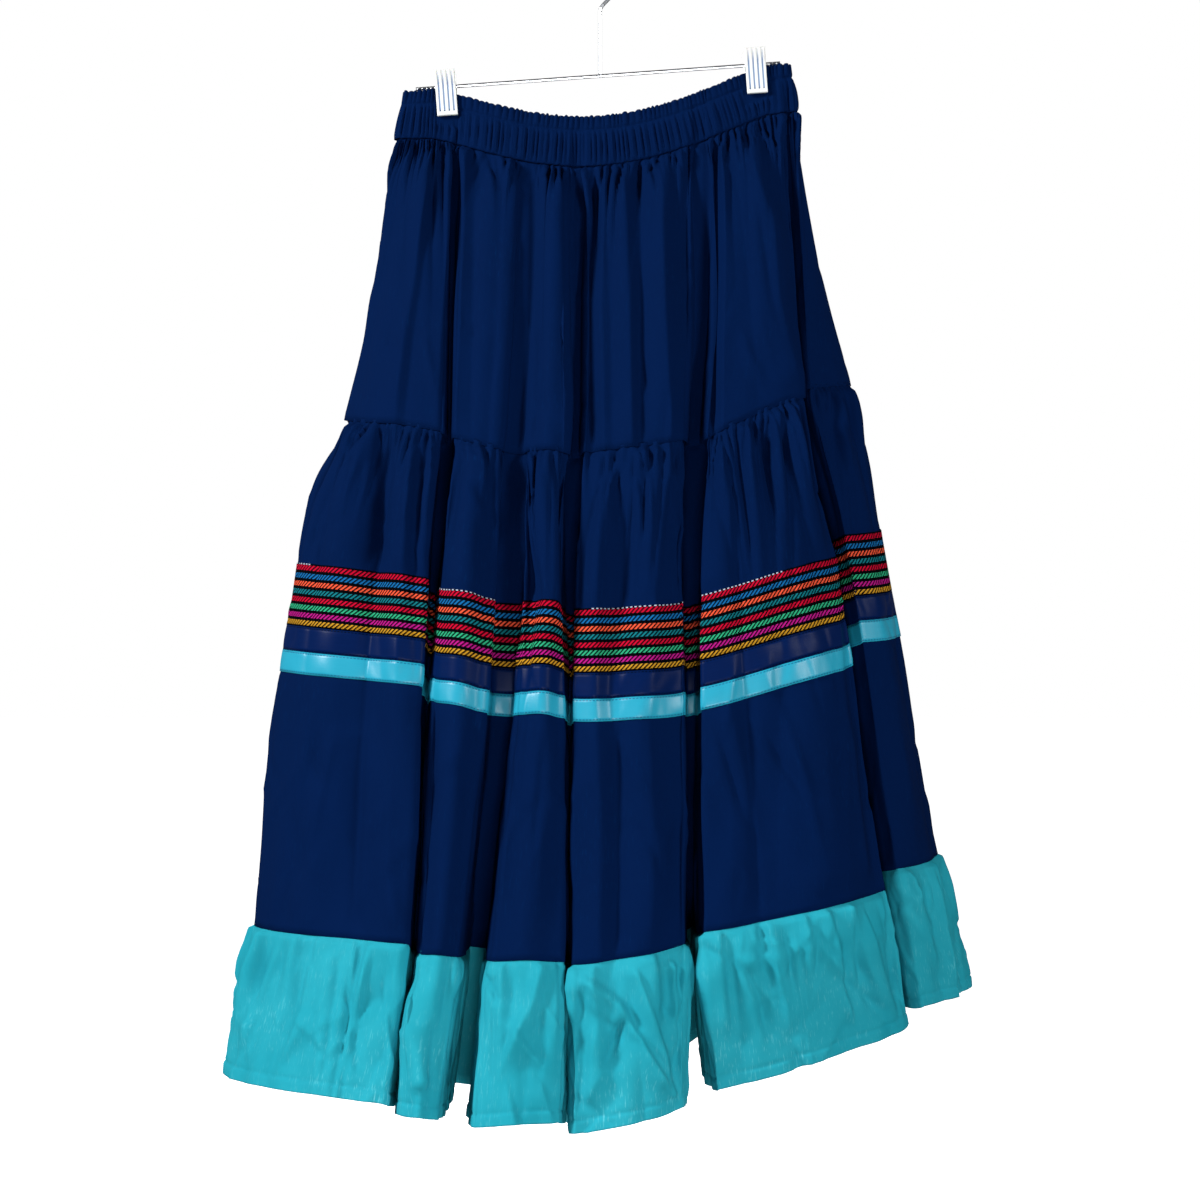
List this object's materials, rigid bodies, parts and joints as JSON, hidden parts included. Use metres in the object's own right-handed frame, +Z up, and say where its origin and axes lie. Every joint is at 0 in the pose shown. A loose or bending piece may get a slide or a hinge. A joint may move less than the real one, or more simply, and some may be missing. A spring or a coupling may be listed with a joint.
{
  "type": "tiered skirt on clip hanger",
  "caption": "Long tiered dance skirt with an elastic waist, a striped woven braid, satin ribbons and a turquoise flounce, hanging open from a wire clip hanger.",
  "frame": {"origin": "where a rail or peg bears in the top of the hanger's hook", "axes": "+Z up, +X from the skirt's left to its right as seen from the front, -Y towards the front"},
  "size_m": [0.7568, 0.4572, 1.1494],
  "materials": {
    "navy_cotton": "plain woven cotton",
    "turquoise_cotton": "slubby plain woven cotton",
    "striped_braid": "twill woven warp stripes",
    "navy_satin": "satin ribbon",
    "turquoise_satin": "satin ribbon",
    "steel_wire": "bright plated wire",
    "white_plastic": "moulded"
  },
  "bodies": {
    "root": {"waist_casing_front": "navy_cotton", "waist_casing_back": "navy_cotton", "upper_tier_front": "navy_cotton", "upper_tier_back": "navy_cotton", "lower_tier_front": "navy_cotton", "lower_tier_back": "navy_cotton", "flounce_front": "turquoise_cotton", "flounce_back": "turquoise_cotton", "striped_braid_front": "striped_braid", "striped_braid_back": "striped_braid", "navy_ribbon_front": "navy_satin", "navy_ribbon_back": "navy_satin", "turquoise_ribbon_front": "turquoise_satin", "turquoise_ribbon_back": "turquoise_satin", "hanger_bar": "steel_wire", "hanger_hook": "steel_wire", "left_clip_front_jaw": "white_plastic", "left_clip_back_jaw": "white_plastic", "right_clip_front_jaw": "white_plastic", "right_clip_back_jaw": "white_plastic"}
  },
  "joints": []
}
